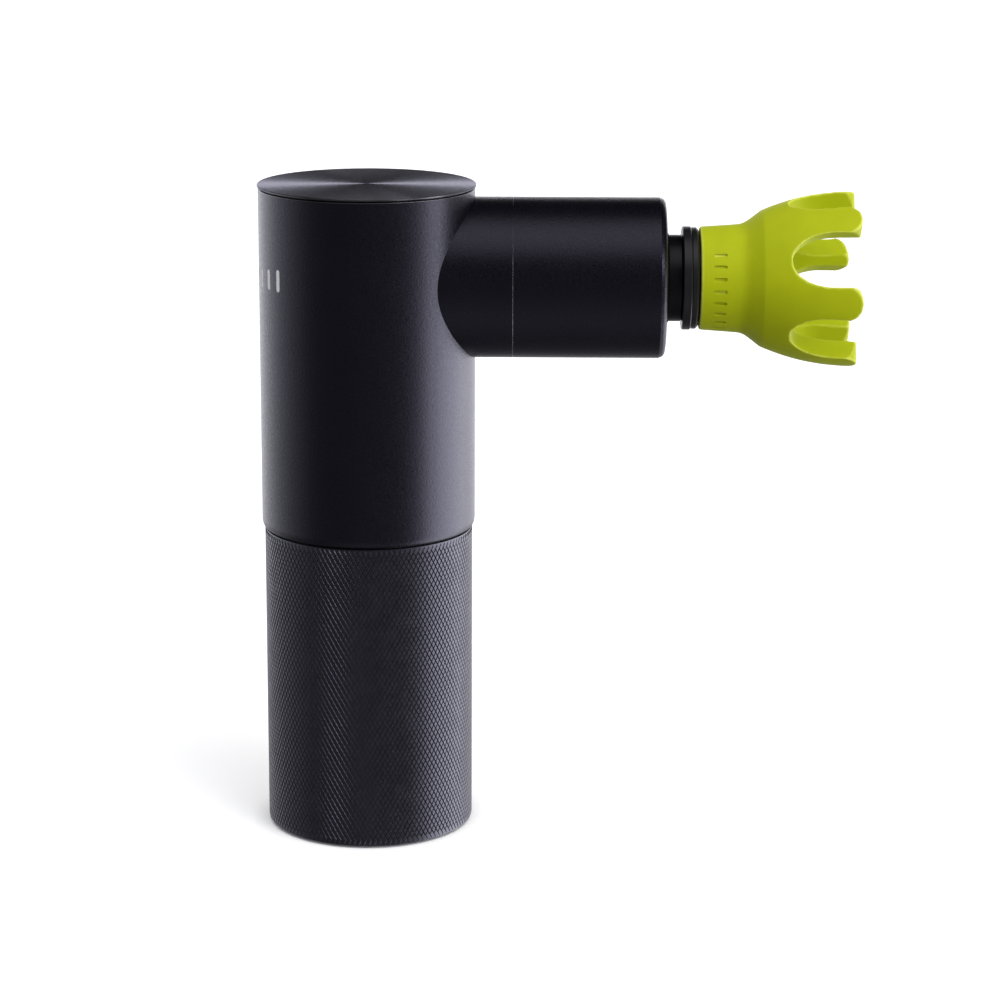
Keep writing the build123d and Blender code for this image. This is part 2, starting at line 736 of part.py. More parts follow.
with BuildPart() as crank_pin:
    with BuildSketch(Plane.XY.offset(PIN_SPLIT_Z + PIN_SPLIT_GAP / 2)):
        with Locations((CRANK_X, 0)):
            Circle(PIN_R)
    extrude(amount=ROD_HIGH + 0.2 - PIN_SPLIT_Z - PIN_SPLIT_GAP / 2)
    with BuildSketch(Plane.XY.offset(ROD_HIGH + 0.2)):
        with Locations((CRANK_X, 0)):
            Circle(4.0)
    extrude(amount=1.2)
save(crank_pin, "crank_pin")

with BuildPart() as big_end_bearing:
    with BuildSketch(Plane.XY.offset(ROD_LOW + 1)):
        with Locations((CRANK_X, 0)):
            Circle(5.5)
            Circle(PIN_R, mode=Mode.SUBTRACT)
    extrude(amount=ROD_T - 2)
save(big_end_bearing, "big_end_bearing")

with BuildPart() as connecting_rod:
    with BuildSketch(Plane.XY.offset(BARREL_Z - 2.5)):
        with BuildLine():
            Polyline((CRANK_X, -4.5), (WRIST_X, -3), (WRIST_X, 3), (CRANK_X, 4.5), close=True)
        make_face()
    extrude(amount=5)
    with BuildSketch(Plane.XY.offset(ROD_LOW)):
        with Locations((CRANK_X, 0)):
            Circle(8)
        with Locations((WRIST_X, 0)):
            Circle(5)
    extrude(amount=ROD_T)
    with BuildSketch(Plane.XY.offset(ROD_LOW)):
        with Locations((CRANK_X, 0)):
            Circle(5.5)
        with Locations((WRIST_X, 0)):
            Circle(WRIST_R + 0.75)
    extrude(amount=ROD_T, mode=Mode.SUBTRACT)
    for face_z, inward in ((BARREL_Z + 2.5, -1), (BARREL_Z - 2.5, 1)):
        with BuildSketch(Plane.XY.offset(face_z)):
            with Locations((12.5, 0)):
                SlotOverall(13, 3.2)
        extrude(amount=1.4 * inward, mode=Mode.SUBTRACT)
save(connecting_rod, "connecting_rod")

with BuildPart() as small_end_bush:
    with BuildSketch(Plane.XY.offset(ROD_LOW)):
        with Locations((WRIST_X, 0)):
            Circle(WRIST_R + 0.75)
            Circle(WRIST_R + RUNNING, mode=Mode.SUBTRACT)
    extrude(amount=ROD_T)
save(small_end_bush, "small_end_bush")

WRIST_HALF = 8.4
with BuildPart() as wrist_pin:
    with BuildSketch(Plane.XY.offset(BARREL_Z - WRIST_HALF)):
        with Locations((WRIST_X, 0)):
            Circle(WRIST_R)
    extrude(amount=2 * WRIST_HALF)
save(wrist_pin, "wrist_pin")

with BuildPart() as piston:
    with BuildSketch(BARREL_SIDE):
        with BuildLine():
            Polyline(
                (PISTON_BACK, 0),
                (PISTON_BACK, PISTON_R - 0.8),
                (PISTON_BACK + 0.8, PISTON_R),
                (PISTON_FRONT - 0.3, PISTON_R),
                (PISTON_FRONT, PISTON_R - 0.3),
                (PISTON_FRONT, SOCKET_R + 0.5),
                (PISTON_FRONT - 0.5, SOCKET_R),
                (SOCKET_BACK, SOCKET_R),
                (SOCKET_BACK, 0),
                close=True,
            )
        make_face()
    revolve(axis=BARREL_AXIS)
    with BuildSketch(BARREL_SIDE):
        with Locations(((PISTON_BACK + 32.5) / 2, 0)):
            Rectangle(32.5 - PISTON_BACK, ROD_T + 0.7)
    extrude(amount=PISTON_R + 1, both=True, mode=Mode.SUBTRACT)
    with BuildSketch(Plane.XY.offset(BARREL_Z - PISTON_R)):
        with Locations((WRIST_X, 0)):
            Circle(WRIST_R)
    extrude(amount=2 * PISTON_R, mode=Mode.SUBTRACT)
save(piston, "piston")

# ======================================== guide =======================================================

GUIDE_FLANGE_R = SLEEVE_BORE_R - 0.1
with BuildPart() as guide_cylinder:
    with BuildSketch(BARREL_SIDE):
        with BuildLine():
            Polyline(
                (GUIDE_X[0], BUSH_R),
                (GUIDE_X[0], GUIDE_FLANGE_R),
                (GUIDE_X[0] + 2, GUIDE_FLANGE_R),
                (GUIDE_X[0] + 2, GUIDE_R),
                (GUIDE_FRONT_X, GUIDE_R),
                (GUIDE_FRONT_X, GUIDE_FLANGE_R),
                (GUIDE_X[1], GUIDE_FLANGE_R),
                (GUIDE_X[1], SEAL_R + RUNNING),
                (SEAL_X, SEAL_R + RUNNING),
                (SEAL_X, BUSH_R),
                close=True,
            )
        make_face()
    revolve(axis=BARREL_AXIS)
    with BuildSketch(Plane.YZ.offset(GUIDE_FRONT_X)):
        with Locations((0, BARREL_Z)):
            with PolarLocations(GUIDE_SCREW_RING_R, 3, start_angle=90):
                Circle(SCREW_R + SLIP)
    extrude(amount=GUIDE_X[1] - GUIDE_FRONT_X, mode=Mode.SUBTRACT)
save(guide_cylinder, "guide_cylinder")

with BuildPart() as guide_screws:
    with BuildSketch(Plane.YZ.offset(GUIDE_FRONT_X)):
        with Locations((0, BARREL_Z)):
            with PolarLocations(GUIDE_SCREW_RING_R, 3, start_angle=90):
                Circle(SCREW_R)
    extrude(amount=GUIDE_SCREW_LENGTH)
    with BuildSketch(Plane.YZ.offset(GUIDE_FRONT_X)):
        with Locations((0, BARREL_Z)):
            with PolarLocations(GUIDE_SCREW_RING_R, 3, start_angle=90):
                Circle(GUIDE_SCREW_HEAD[0])
    extrude(amount=-GUIDE_SCREW_HEAD[1])
save(guide_screws, "guide_screws")

rear_bush = barrel_ring(PISTON_R + RUNNING, BUSH_R, GUIDE_X[0] + 1, GUIDE_X[0] + 1 + BUSH_LENGTH)
save(rear_bush, "rear_bush")
front_bush = barrel_ring(PISTON_R + RUNNING, BUSH_R, GUIDE_FRONT_X - BUSH_LENGTH, GUIDE_FRONT_X)
save(front_bush, "front_bush")

with BuildPart() as damping_rings:
    with BuildSketch(BARREL_SIDE):
        with Locations((41, (GUIDE_R + SLEEVE_BORE_R) / 2), (52, (GUIDE_R + SLEEVE_BORE_R) / 2)):
            Rectangle(4, SLEEVE_BORE_R - GUIDE_R)
    revolve(axis=BARREL_AXIS)
save(damping_rings, "damping_rings")

dust_seal = turned_on_barrel(
    [
        (SEAL_X, PISTON_R + RUNNING),
        (SEAL_X, SEAL_R),
        (BARREL_END - 0.15, SEAL_R),
        (BARREL_END, SEAL_R - 0.9),
        (BARREL_END + 0.65, PISTON_R + 0.3),
        (BARREL_END + 0.65, PISTON_R + RUNNING),
    ]
)
save(dust_seal, "dust_seal")

# ======================================== massage head ================================================

FLANGE_X = PISTON_FRONT + RUNNING
O_RING_X = (54.0, 62.0)
O_RING_T = 1.6
head_core = turned_on_barrel(
    [
        (48.0, 0),
        (48.0, STEM_R - 0.8),
        (48.8, STEM_R),
        (O_RING_X[0], STEM_R),
        (O_RING_X[0], STEM_R - 1),
        (O_RING_X[0] + O_RING_T, STEM_R - 1),
        (O_RING_X[0] + O_RING_T, STEM_R),
        (O_RING_X[1], STEM_R),
        (O_RING_X[1], STEM_R - 1),
        (O_RING_X[1] + O_RING_T, STEM_R - 1),
        (O_RING_X[1] + O_RING_T, STEM_R),
        (FLANGE_X, STEM_R),
        (FLANGE_X, COLLAR_R - 0.2),
        (FLANGE_X + 0.2, COLLAR_R),
        (FLANGE_X + 1.75, COLLAR_R),
        (FLANGE_X + 1.95, COLLAR_R - 0.2),
        (FLANGE_X + 1.95, COLLAR_R - 0.8),
        (FLANGE_X + 2.15, COLLAR_R - 0.8),
        (FLANGE_X + 2.15, COLLAR_R - 0.2),
        (FLANGE_X + 3.05, COLLAR_R - 0.2),
        (FLANGE_X + 3.5, COLLAR_R - 0.65),
        (FLANGE_X + 3.5, CORE_R),
        (CORE_FRONT - 1, CORE_R),
        (CORE_FRONT, CORE_R - 1),
        (CORE_FRONT, 0),
    ]
)
save(head_core, "head_core")

with BuildPart() as head_o_rings:
    with BuildSketch(BARREL_SIDE):
        with Locations(*[(x + O_RING_T / 2, STEM_R - 0.475) for x in O_RING_X]):
            RectangleRounded(O_RING_T - 0.2, 1.05, 0.45)
    revolve(axis=BARREL_AXIS)
save(head_o_rings, "head_o_rings")

HEAD_BACK = 73.6
NECK_FRONT = (82.0, 12.0)
SHOULDER = (87.2, 15.1)
TIP_R = (14.4, 19.4)  # inside and outside of the fingers at their tips
CUP_FLOOR = (87.0, 9.0)
FINGER_PITCH = 360 / FINGER_SLOTS
FINGER_WIDTH = 8.2


def crown_plane(angle):
    """A plane through the barrel axis that faces the front at 0 degrees and the top at 90."""
    return Plane(
        origin=(0, 0, BARREL_Z), x_dir=(1, 0, 0), z_dir=(0, -cos(radians(angle)), sin(radians(angle)))
    )


with BuildPart() as crown_head:
    with BuildSketch(BARREL_SIDE):
        with BuildLine():
            Line((HEAD_BACK, 11.4), NECK_FRONT)
            Spline(NECK_FRONT, (84.6, 13.1), SHOULDER, tangents=((1, 0.07), (1, 0.75)))
            Spline(
                SHOULDER,
                (92.0, 16.9),
                (98.0, 18.45),
                (HEAD_TIP, TIP_R[1]),
                tangents=((1, 0.42), (1, 0.01)),
            )
            Line((HEAD_TIP, TIP_R[1]), (HEAD_TIP, TIP_R[0]))
            Spline(
                (HEAD_TIP, TIP_R[0]),
                (101.0, 14.0),
                (94.5, 13.2),
                CUP_FLOOR,
                tangents=((-1, 0), (-0.4, -1)),
            )
            Polyline(
                CUP_FLOOR,
                (CUP_FLOOR[0], 0),
                (CORE_FRONT + RUNNING, 0),
                (CORE_FRONT + RUNNING, CORE_R + RUNNING),
                (HEAD_BACK, CORE_R + RUNNING),
                (HEAD_BACK, 11.4),
            )
        make_face()
    revolve(axis=BARREL_AXIS)
    for step in range(FINGER_SLOTS // 2):
        angle = CROWN_TURN + FINGER_PITCH * step
        with BuildSketch(crown_plane(angle)):
            with Locations((SLOT_ROOT_X + SLOT_ROOT_LENGTH, 0)):
                Ellipse(SLOT_ROOT_LENGTH, SLOT_WIDTH / 2)
                Rectangle(20, SLOT_WIDTH, align=(Align.MIN, Align.CENTER))
        extrude(amount=BODY_R, both=True, mode=Mode.SUBTRACT)
        with BuildSketch(crown_plane(angle + FINGER_PITCH / 2)):
            with Locations((HEAD_TIP - FINGER_CORNER_R, 0)):
                Rectangle(2 * FINGER_CORNER_R, FINGER_WIDTH + 2, align=(Align.MIN, Align.CENTER))
            with Locations((HEAD_TIP, 0)):
                RectangleRounded(
                    4 * FINGER_CORNER_R,
                    FINGER_WIDTH,
                    FINGER_CORNER_R,
                    align=(Align.MAX, Align.CENTER),
                    mode=Mode.SUBTRACT,
                )
        extrude(amount=BODY_R, both=True, mode=Mode.SUBTRACT)
save(crown_head, "crown_head")
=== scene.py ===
"""Looks of the massage gun: procedural materials, a knurled grip, a soft crown, printed marks and seam rings.

Metres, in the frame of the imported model: +Z up, +X along the barrel towards the head, base on the floor at 0.
"""

import bpy
import bmesh
import json
import numpy
from math import cos, pi, radians, sin
from mathutils import Matrix, Vector


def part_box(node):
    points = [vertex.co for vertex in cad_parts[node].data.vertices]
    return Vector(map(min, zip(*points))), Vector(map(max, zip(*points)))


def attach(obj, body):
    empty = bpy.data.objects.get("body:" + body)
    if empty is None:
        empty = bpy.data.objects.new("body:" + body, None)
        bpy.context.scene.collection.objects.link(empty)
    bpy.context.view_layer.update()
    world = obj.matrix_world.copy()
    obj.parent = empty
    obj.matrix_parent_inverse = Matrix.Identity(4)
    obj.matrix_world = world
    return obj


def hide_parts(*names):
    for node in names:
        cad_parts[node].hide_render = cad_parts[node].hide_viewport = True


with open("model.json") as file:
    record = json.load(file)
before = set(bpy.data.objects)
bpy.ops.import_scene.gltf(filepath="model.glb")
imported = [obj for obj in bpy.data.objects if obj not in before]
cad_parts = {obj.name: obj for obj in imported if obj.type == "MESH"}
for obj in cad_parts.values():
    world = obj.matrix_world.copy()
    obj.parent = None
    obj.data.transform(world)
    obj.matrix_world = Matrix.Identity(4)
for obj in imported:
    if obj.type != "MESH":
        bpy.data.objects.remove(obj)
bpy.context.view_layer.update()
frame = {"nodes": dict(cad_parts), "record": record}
nodes = frame["nodes"]
scene = bpy.context.scene

MM = 0.001
BARREL_Z = sum(corner[2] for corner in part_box("barrel_sleeve")) / 2
SHELL_R = (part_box("upper_shell")[1][1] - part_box("upper_shell")[0][1]) / 2
GRIP_R = (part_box("handle_grip")[1][1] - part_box("handle_grip")[0][1]) / 2


# ======================================== camera and studio ===========================================

CAMERA_PLACE = Vector((0.0349, -0.67757, 0.24483))
CAMERA_YAW = 0.0077
CAMERA_PITCH = 0.2454
CAMERA_ROLL = 0.0039
CAMERA_LENS = 111.28


def make_camera():
    """A long lens a little above the barrel, looking along +Y and down."""
    camera = bpy.data.objects.new("camera", bpy.data.cameras.new("camera"))
    scene.collection.objects.link(camera)
    camera.data.sensor_width = 36
    camera.data.lens = CAMERA_LENS
    camera.data.clip_start = 0.05
    camera.data.clip_end = 50
    forward = Vector(
        (-sin(CAMERA_YAW) * cos(CAMERA_PITCH), cos(CAMERA_YAW) * cos(CAMERA_PITCH), -sin(CAMERA_PITCH))
    )
    level = Vector((cos(CAMERA_YAW), sin(CAMERA_YAW), 0))
    upright = level.cross(forward)
    right = level * cos(CAMERA_ROLL) + upright * sin(CAMERA_ROLL)
    up = upright * cos(CAMERA_ROLL) - level * sin(CAMERA_ROLL)
    turn = Matrix((right, up, -forward)).transposed().to_4x4()
    camera.matrix_world = Matrix.Translation(CAMERA_PLACE) @ turn
    scene.camera = camera


def soft_sun(name, azimuth, height, spread, strength):
    """An even, wide light that models form and shadow but leaves no glint; angles are in degrees.

    Azimuth 0 is the camera's side and 90 is the head's side.
    """
    data = bpy.data.lights.new(name, "SUN")
    data.energy = strength
    data.angle = radians(spread)
    lamp = bpy.data.objects.new(name, data)
    turn, rise = radians(azimuth), radians(height)
    toward = Vector((sin(turn) * cos(rise), -cos(turn) * cos(rise), sin(rise)))
    lamp.rotation_euler = toward.to_track_quat("Z", "Y").to_euler()
    lamp.visible_glossy = False
    scene.collection.objects.link(lamp)


FLOOR_HALF = 6.0
FLOOR_DROP = 0.02 * MM  # just under the foot, so that the two faces don't meet
FLOOR_GLOW = 0.31
CONTACT_SHADOW_REACH = 5 * MM  # how far from the foot the paper's glow fades


def make_floor():
    """White paper, which only the camera sees, and only from above.

    The black parts mirror the studio round it instead. Its glow is painted darker close to the foot, as a
    contact shadow.
    """
    mesh = bpy.data.meshes.new("floor")
    signs = ((-1, -1), (1, -1), (1, 1), (-1, 1))
    corners = [(FLOOR_HALF * x, FLOOR_HALF * y, -FLOOR_DROP) for x, y in signs]
    mesh.from_pydata(corners, [], [(0, 1, 2, 3)])
    floor = bpy.data.objects.new("floor", mesh)
    scene.collection.objects.link(floor)
    paper = bpy.data.materials.new("studio_paper")
    paper.use_nodes = True
    shader = paper.node_tree.nodes["Principled BSDF"]
    shader.inputs["Base Color"].default_value = (0.93, 0.93, 0.935, 1)
    shader.inputs["Roughness"].default_value = 1.0
    shader.inputs["Specular IOR Level"].default_value = 0.0
    shader.inputs["Emission Strength"].default_value = FLOOR_GLOW
    # Painted contact shadow: ambient occlusion dims the paper's glow close to the foot.
    corner = paper.node_tree.nodes.new("ShaderNodeAmbientOcclusion")
    corner.inputs["Distance"].default_value = CONTACT_SHADOW_REACH
    paper.node_tree.links.new(corner.outputs["Color"], shader.inputs["Emission Color"])
    side = paper.node_tree.nodes.new("ShaderNodeNewGeometry")
    clear = paper.node_tree.nodes.new("ShaderNodeBsdfTransparent")
    either = paper.node_tree.nodes.new("ShaderNodeMixShader")
    paper.node_tree.links.new(side.outputs["Backfacing"], either.inputs[0])
    paper.node_tree.links.new(shader.outputs[0], either.inputs[1])
    paper.node_tree.links.new(clear.outputs[0], either.inputs[2])
    output = paper.node_tree.nodes["Material Output"]
    paper.node_tree.links.new(either.outputs[0], output.inputs["Surface"])
    mesh.materials.append(paper)
    floor.visible_glossy = False
    floor.visible_diffuse = False
    floor.visible_shadow = False


# Brightness of the backdrop, by azimuth in degrees from the camera's side towards the head's side.
BACKDROP = (
    (-180, 1.65), (-150, 1.75), (-125, 1.5), (-105, 0.95), (-80, 0.45), (-60, 0.1), (-30, 0.03), (0, 0.02),
    (60, 0.05), (90, 0.6), (120, 1.3), (180, 1.65),
)
# The backdrop's band, by the sine of the height.
BACKDROP_BAND = (
    (-1.0, 0.03), (-0.7, 0.1), (-0.38, 0.4), (-0.2, 1.0), (0.19, 1.0), (0.27, 0.2), (0.36, 0.05), (0.6, 0.0),
)
# A bright card that stands on the table on the head's side, by azimuth and by the sine of the height.
CARD = ((45, 0.0), (62, 0.5), (75, 2.5), (95, 3.3), (120, 2.5), (140, 0.8), (165, 0.0))
CARD_BAND = ((-0.92, 0.0), (-0.68, 0.85), (-0.25, 1.0), (-0.05, 1.0), (0.15, 0.05), (0.25, 0.0))
# Light from the table in front of the object, by the cosine of the angle from its middle.
BELOW = ((0.3, 0.0), (0.75, 0.04), (0.92, 0.13), (1.0, 0.2))
BELOW_TOWARD = (0, -0.6, -0.8)
# A dim softbox over the front, by the cosine of the angle from its middle.
OVERHEAD = ((0.80, 0.0), (0.93, 0.5), (1.0, 0.8))
OVERHEAD_TOWARD = (0, -0.34, 0.94)
# A small bright softbox high on the head's side of the front, by the same measure.
LAMP = ((0.965, 0.0), (0.985, 2.8), (1.0, 4.0))
LAMP_TOWARD = (0.61, -0.67, 0.42)
TINT = (0.98, 0.98, 1.04, 1)


def make_world():
    """The studio as the object mirrors it: bright behind, a strip on the head's side, dark in front."""
    world = bpy.data.worlds.new("studio")
    scene.world = world
    world.use_nodes = True
    tree = world.node_tree
    background = tree.nodes["Background"]
    coords = tree.nodes.new("ShaderNodeTexCoord")
    split = tree.nodes.new("ShaderNodeSeparateXYZ")
    tree.links.new(coords.outputs["Generated"], split.inputs[0])

    def combine(operation, *values):
        node = tree.nodes.new("ShaderNodeMath")
        node.operation = operation
        for socket, value in zip(node.inputs, values):
            if isinstance(value, (int, float)):
                socket.default_value = value
            else:
                tree.links.new(value, socket)
        return node.outputs[0]

    def profile(value, stops, low, high):
        """Levels read from (value, level) stops between `low` and `high`."""
        top = max(level for _, level in stops)
        ramp = tree.nodes.new("ShaderNodeValToRGB")
        ramp.color_ramp.interpolation = "EASE"
        elements = ramp.color_ramp.elements
        while len(elements) < len(stops):
            elements.new(0.5)
        for element, (place, level) in zip(elements, stops):
            element.position = (place - low) / (high - low)
            element.color = (level / top, level / top, level / top, 1)
        share = combine("DIVIDE", combine("SUBTRACT", value, low), high - low)
        tree.links.new(share, ramp.inputs["Fac"])
        return combine("MULTIPLY", ramp.outputs["Color"], top)

    azimuth = combine("ARCTAN2", split.outputs["X"], combine("MULTIPLY", split.outputs["Y"], -1))
    degrees = combine("MULTIPLY", azimuth, 180 / pi)
    height = split.outputs["Z"]
    backdrop = combine(
        "MULTIPLY", profile(degrees, BACKDROP, -180, 180), profile(height, BACKDROP_BAND, -1, 1)
    )
    card = combine("MULTIPLY", profile(degrees, CARD, -180, 180), profile(height, CARD_BAND, -1, 1))

    def facing(toward):
        """The cosine of the angle between a direction and `toward`."""
        node = tree.nodes.new("ShaderNodeVectorMath")
        node.operation = "DOT_PRODUCT"
        node.inputs[1].default_value = toward
        tree.links.new(coords.outputs["Generated"], node.inputs[0])
        return node.outputs["Value"]

    softbox = profile(facing(OVERHEAD_TOWARD), OVERHEAD, 0, 1)
    lamp = profile(facing(LAMP_TOWARD), LAMP, 0, 1)
    level = combine("ADD", backdrop, card)
    for light in (softbox, lamp, profile(facing(BELOW_TOWARD), BELOW, 0, 1)):
        level = combine("ADD", level, light)

    tint = tree.nodes.new("ShaderNodeMix")
    tint.data_type = "RGBA"
    tint.blend_type = "MULTIPLY"
    tint.inputs["Factor"].default_value = 1.0
    tint.inputs[6].default_value = TINT
    tree.links.new(level, tint.inputs[7])
    rays = tree.nodes.new("ShaderNodeLightPath")
    seen = tree.nodes.new("ShaderNodeMix")
    seen.data_type = "RGBA"
    tree.links.new(rays.outputs["Is Camera Ray"], seen.inputs["Factor"])
    tree.links.new(tint.outputs[2], seen.inputs[6])
    seen.inputs[7].default_value = (1, 1, 1, 1)
    tree.links.new(seen.outputs[2], background.inputs["Color"])


def make_studio():
    make_floor()
    make_world()
    soft_sun("dome", 20, 80, 130, 1.68)
    soft_sun("key", 50, 50, 40, 0.9)
    soft_sun("fill", 10, 2, 110, 1.16)


def set_colour_management():
    scene.view_settings.view_transform = "Standard"
    scene.view_settings.look = "None"


# ======================================== material tools ==============================================


class Surface:
    """A Principled material that is built up by small steps."""

    def __init__(self, name, color, roughness, **sockets):
        self.material = bpy.data.materials.new(name)
        self.material.use_nodes = True
        self.tree = self.material.node_tree
        self.shader = self.tree.nodes["Principled BSDF"]
        self.color = color
        self.shader.inputs["Base Color"].default_value = (*color, 1)
        self.shader.inputs["Roughness"].default_value = roughness
        self.roughness = roughness
        for socket, value in sockets.items():
            self.shader.inputs[socket.replace("_", " ")].default_value = value
        self.material.diffuse_color = (*color, 1)

    def node(self, kind, **settings):
        node = self.tree.nodes.new("ShaderNode" + kind)
        for key, value in settings.items():
            setattr(node, key, value)
        return node

    def link(self, source, target):
        self.tree.links.new(source, target)

    def place(self, stretch=(1, 1, 1)):
        """Object coordinates in metres, times `stretch`."""
        coords = self.node("TexCoord")
        mapping = self.node("Mapping")
        mapping.inputs["Scale"].default_value = stretch
        self.link(coords.outputs["Object"], mapping.inputs["Vector"])
        return mapping.outputs["Vector"]

    def noise(self, scale, detail=3.0, stretch=(1, 1, 1)):
        noise = self.node("TexNoise")
        noise.inputs["Scale"].default_value = scale
        noise.inputs["Detail"].default_value = detail
        self.link(self.place(stretch), noise.inputs["Vector"])
        return noise.outputs["Fac"]

    def remap(self, value, low, high, from_low=0.3, from_high=0.7):
        remap = self.node("MapRange")
        remap.inputs["From Min"].default_value = from_low
        remap.inputs["From Max"].default_value = from_high
        remap.inputs["To Min"].default_value = low
        remap.inputs["To Max"].default_value = high
        self.link(value, remap.inputs["Value"])
        return remap.outputs["Result"]

    def mottle(self, amount=0.12, scale=180.0, stretch=(1, 1, 1)):
        """Slight lighter and darker patches in the base colour."""
        ramp = self.node("ValToRGB")
        low, high = ramp.color_ramp.elements
        low.position, high.position = 0.3, 0.7
        low.color = (*[c * (1 - amount) for c in self.color], 1)
        high.color = (*[min(1.0, c * (1 + amount)) for c in self.color], 1)
        self.link(self.noise(scale, 4.0, stretch), ramp.inputs["Fac"])
        self.link(ramp.outputs["Color"], self.shader.inputs["Base Color"])
        return self

    def paint_centre_shade(self, least, full_r):
        """Painted shade: scale the base colour from `least` on the Z axis up to 1 at the radius `full_r`, so
        the reflection is painted darker towards the middle.
        """
        base = self.shader.inputs["Base Color"]
        out = self.node("VectorMath", operation="LENGTH")
        self.link(self.place((1, 1, 0)), out.inputs[0])
        mix = self.node("Mix", data_type="RGBA", blend_type="MULTIPLY")
        mix.inputs["Factor"].default_value = 1.0
        self.link(base.links[0].from_socket, mix.inputs[6])
        self.link(self.remap(out.outputs["Value"], least, 1, 0, full_r), mix.inputs[7])
        self.link(mix.outputs[2], base)
        return self

    def paint_edge_highlight(self, color):
        """Painted highlight: fade the base colour to `color` along the edges marked in the mesh's vertex
        attribute.
        """
        base = self.shader.inputs["Base Color"]
        edge_highlight = self.node("Attribute", attribute_name="edge_highlight")
        mix = self.node("Mix", data_type="RGBA")
        self.link(edge_highlight.outputs["Fac"], mix.inputs["Factor"])
        self.link(base.links[0].from_socket, mix.inputs[6])
        mix.inputs[7].default_value = (*color, 1)
        self.link(mix.outputs[2], base)
        return self

    def uneven_gloss(self, amount=0.05, scale=90.0, stretch=(1, 1, 1)):
        """Roughness that drifts a little, as from handling."""
        spread = self.remap(
            self.noise(scale, 3.0, stretch), self.roughness - amount, self.roughness + amount
        )
        self.link(spread, self.shader.inputs["Roughness"])
        return self

    def relief(self, height, strength, distance):
        bump = self.node("Bump")
        bump.inputs["Strength"].default_value = strength
        bump.inputs["Distance"].default_value = distance
        self.link(height, bump.inputs["Height"])
        self.link(bump.outputs["Normal"], self.shader.inputs["Normal"])
        return self

    def grain(self, scale=5000.0, strength=0.08, distance=0.00004, stretch=(1, 1, 1)):
        return self.relief(self.noise(scale, 2.0, stretch), strength, distance)

    def turning_rings(self, pitch, strength, axis="Z", centre_z=0.0, distance=0.00003):
        """Fine concentric turning marks round a line along `axis` at height `centre_z`."""
        wave = self.node("TexWave", wave_type="RINGS", rings_direction=axis, wave_profile="SIN")
        wave.inputs["Scale"].default_value = 1 / (20 * pitch) * pi / 2.5
        wave.inputs["Distortion"].default_value = 0.4
        wave.inputs["Detail"].default_value = 1.0
        coords = self.node("TexCoord")
        mapping = self.node("Mapping")
        mapping.inputs["Location"].default_value = (0, 0, -centre_z)
        self.link(coords.outputs["Object"], mapping.inputs["Vector"])
        self.link(mapping.outputs["Vector"], wave.inputs["Vector"])
        return self.relief(wave.outputs["Fac"], strength, distance)


# ======================================== materials ===================================================


def black_shell():
    """Satin black anodised aluminium with a fine bead-blast grain."""
    surface = Surface(
        "black_shell",
        (0.003, 0.0027, 0.0045),
        0.32,
        Specular_IOR_Level=0.6,
        Specular_Tint=(0.95, 0.92, 1.18, 1),
    )
    return surface.mottle(0.10, 120).uneven_gloss(0.07, 2200).grain(2200, 0.6, 0.00007)


def spun_cap():
    """Black anodised disc with circular brushing, whose streaks run out from the centre, and with its
    reflection painted darker towards the centre.
    """
    surface = Surface(
        "spun_cap",
        (0.18, 0.18, 0.19),
        0.34,
        Metallic=0.95,
        Specular_Tint=(0.49, 0.48, 0.55, 1),
        Anisotropic=1.0,
        Anisotropic_Rotation=0.25,
    )
    tangent = surface.node("Tangent", direction_type="RADIAL", axis="Z")
    surface.link(tangent.outputs["Tangent"], surface.shader.inputs["Tangent"])
    surface.mottle(0.08, 300)
    # painted shade: the base colour, and with it the metal's reflection, falls to 5 % at the middle of the disc
    surface.paint_centre_shade(0.05, SHELL_R)
    surface.uneven_gloss(0.05, 1500)
    return surface.turning_rings(0.00022, 0.14)


def knurled_grip():
    surface = Surface(
        "knurled_grip",
        (0.009, 0.0085, 0.0115),
        0.33,
        Specular_IOR_Level=0.9,
        Specular_Tint=(0.95, 0.93, 1.15, 1),
    )
    return surface.mottle(0.15, 400).uneven_gloss(0.05, 250).grain(5200, 0.08, 0.00002)


def black_plastic():
    surface = Surface("black_plastic", (0.014, 0.014, 0.0155), 0.5)
    return surface.mottle(0.12, 250).grain(2600, 0.25, 0.00005)


def black_rubber():
    # Partly the rubber's own black and partly painted shade: the base colour and gloss are pushed down so the
    # foot under the grip's edge reads as a shadowed gap.
    surface = Surface("black_rubber", (0.002, 0.002, 0.0024), 0.7, Specular_IOR_Level=0.05)
    return surface.mottle(0.2, 300).uneven_gloss(0.08, 160).grain(3200, 0.2, 0.00004)


def light_window():
    surface = Surface(
        "light_window",
        (0.82, 0.85, 0.87),
        0.3,
        Subsurface_Weight=0.4,
        Subsurface_Scale=0.002,
        Coat_Weight=0.3,
    )
    return surface.mottle(0.03, 500).grain(3000, 0.08, 0.00003)


def button_plastic():
    surface = Surface("button_plastic", (0.022, 0.022, 0.025), 0.38)
    return surface.mottle(0.12, 300).turning_rings(0.00035, 0.08)


def switch_metal():
    surface = Surface("switch_metal", (0.55, 0.55, 0.54), 0.35, Metallic=1.0)
    return surface.uneven_gloss(0.1, 900).grain(3000, 0.1, 0.00003, (1, 8, 1))


def socket_steel():
    surface = Surface("socket_steel", (0.58, 0.58, 0.59), 0.24, Metallic=1.0)
    return surface.uneven_gloss(0.08, 700).grain(2500, 0.08, 0.00002, (1, 1, 6))


